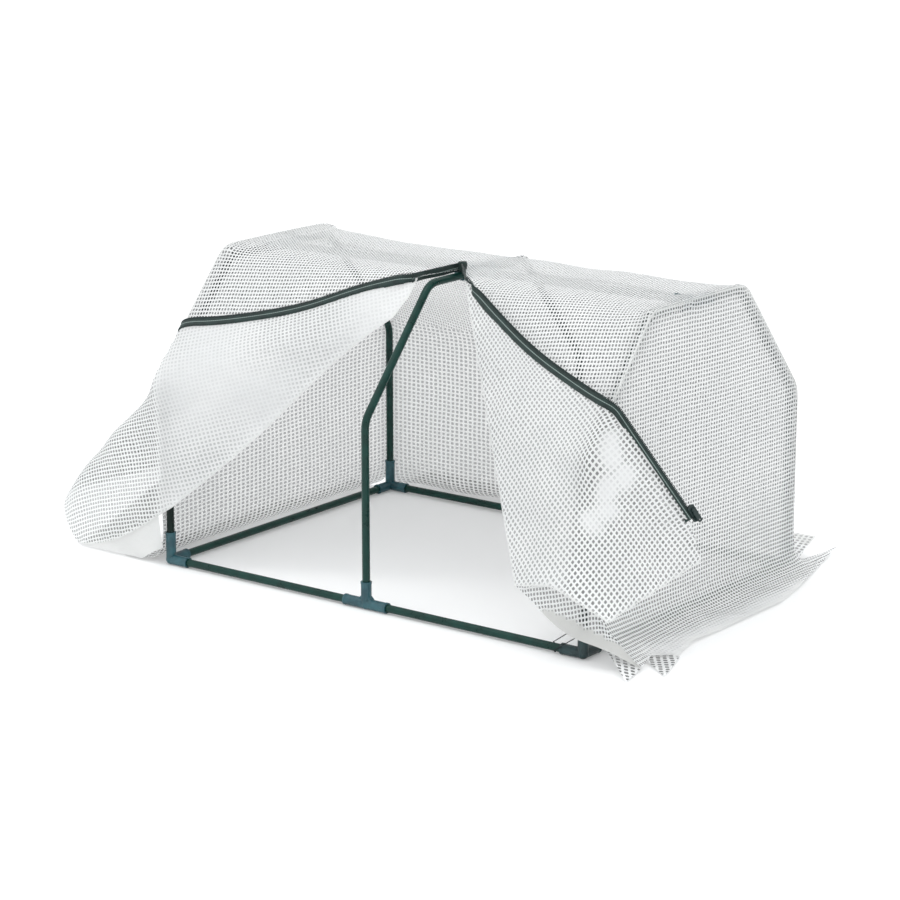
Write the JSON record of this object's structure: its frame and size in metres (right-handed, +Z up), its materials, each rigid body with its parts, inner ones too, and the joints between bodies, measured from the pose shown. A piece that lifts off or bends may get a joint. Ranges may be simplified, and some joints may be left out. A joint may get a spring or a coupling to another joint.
{
  "type": "mini greenhouse",
  "caption": "Low hoop-framed mini greenhouse: tubes in moulded connectors under a ribbed-grid film cover, its long front unzipped from the ridge and its flaps folded back over the end hoops.",
  "frame": {"origin": "on the ground under the front tee, at the middle of the front sill", "axes": "+X along the front sill to the right as seen from the front, +Y to the back, +Z up"},
  "size_m": [1.4021, 0.9216, 0.6006],
  "materials": {
    "connector": "moulded, satin",
    "tube": "powder coat, semi-gloss",
    "film": "white grid tape laminated in clear film",
    "zip_tape": "woven tape, matte",
    "zip_plastic": "moulded",
    "cord": "braided"
  },
  "bodies": {
    "frame_and_cover": {"front_left_corner": "connector", "front_right_corner": "connector", "back_left_corner": "connector", "back_right_corner": "connector", "front_tee": "connector", "back_tee": "connector", "left_ridge_tee": "connector", "right_ridge_tee": "connector", "ridge_cross": "connector", "front_sill_left": "tube", "front_sill_right": "tube", "back_sill_left": "tube", "back_sill_right": "tube", "left_sill": "tube", "right_sill": "tube", "left_hoop_front": "tube", "left_hoop_back": "tube", "middle_hoop_front": "tube", "middle_hoop_back": "tube", "right_hoop_front": "tube", "right_hoop_back": "tube", "ridge_pole_left": "tube", "ridge_pole_right": "tube", "cover_roof_back": "film", "cover_left_end": "film", "cover_right_end": "film", "cover_front_left": "film", "cover_front_right": "film", "zip_head": "zip_tape", "tie_front_right": "cord"},
    "left_flap": {"left_flap": "film", "zip_half_left": "zip_tape", "zip_pin": "zip_plastic"},
    "right_flap": {"right_flap": "film", "zip_half_right": "zip_tape", "zip_box": "zip_plastic"},
    "slider": {"zip_slider": "zip_plastic"},
    "pull": {"zip_pull": "zip_plastic"}
  },
  "joints": [
    {"name": "left_flap_crease", "type": "hinge", "parent": "frame_and_cover", "child": "left_flap", "pos_m": [-0.46875, -0.01335, 0.12], "axis": [0.654, 0.2957, 0.6963], "range_deg": [0, 95]},
    {"name": "right_flap_crease", "type": "hinge", "parent": "frame_and_cover", "child": "right_flap", "pos_m": [0.35979, -0.02935, 0.11713], "axis": [0.4618, -0.3677, -0.8072], "range_deg": [0, 115]},
    {"name": "slider_travel", "type": "slide", "parent": "right_flap", "child": "slider", "axis": [-0.4229, -0.3647, 0.8296], "range_m": [0, 0.2]},
    {"name": "pull_swing", "type": "hinge", "parent": "slider", "child": "pull", "pos_m": [0.61255, 0.15361, 0.25887], "axis": [-0.1597, -0.8712, -0.4643], "range_deg": [0, 150]}
  ]
}
